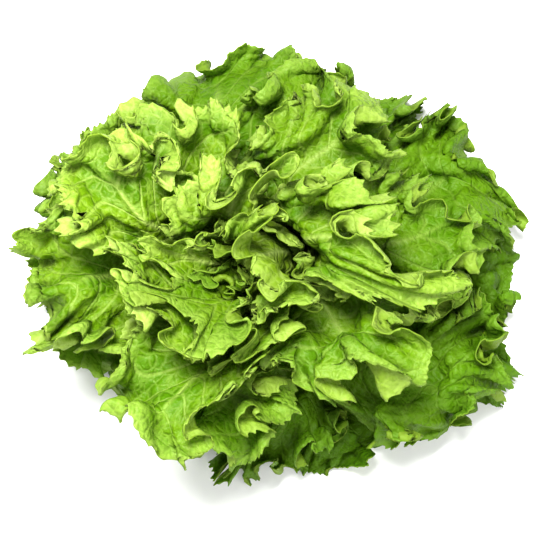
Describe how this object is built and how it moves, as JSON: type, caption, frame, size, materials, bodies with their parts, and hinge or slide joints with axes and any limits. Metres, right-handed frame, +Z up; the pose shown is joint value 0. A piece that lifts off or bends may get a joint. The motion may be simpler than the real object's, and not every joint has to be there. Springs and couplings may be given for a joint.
{
  "type": "lettuce head",
  "caption": "Loose-leaf batavia lettuce head with broad ruffled leaves spiralling round a short cut stem that it stands on.",
  "frame": {"origin": "centre of the stem's flat cut face, which the head stands on", "axes": "+Z up out of the stem through the heart, +X along the head's widest reach, -Y towards the picture's viewer"},
  "size_m": [0.3054, 0.2876, 0.1405],
  "materials": {
    "leaf": "thin crisp leaf blade, satin, letting light through",
    "heart_leaf": "young leaf blade, satin, paler than the outer ones",
    "stem": "moist cut stem flesh, pale"
  },
  "bodies": {
    "root": {"stem": "stem", "leaf_01": "leaf", "leaf_02": "leaf", "leaf_03": "leaf", "leaf_04": "leaf", "leaf_05": "leaf", "leaf_06": "leaf", "leaf_07": "leaf", "leaf_08": "leaf", "leaf_09": "leaf", "leaf_10": "leaf", "leaf_11": "leaf", "leaf_12": "leaf", "leaf_13": "leaf", "leaf_14": "leaf", "leaf_15": "leaf", "leaf_16": "leaf", "leaf_17": "leaf", "leaf_18": "leaf", "leaf_19": "leaf", "leaf_20": "leaf", "leaf_21": "leaf", "leaf_22": "leaf", "leaf_23": "leaf", "leaf_24": "leaf", "heart_leaf_01": "heart_leaf", "heart_leaf_02": "heart_leaf", "heart_leaf_03": "heart_leaf", "heart_leaf_04": "heart_leaf", "heart_leaf_05": "heart_leaf", "heart_leaf_06": "heart_leaf", "heart_leaf_07": "heart_leaf", "heart_leaf_08": "heart_leaf"}
  },
  "joints": []
}
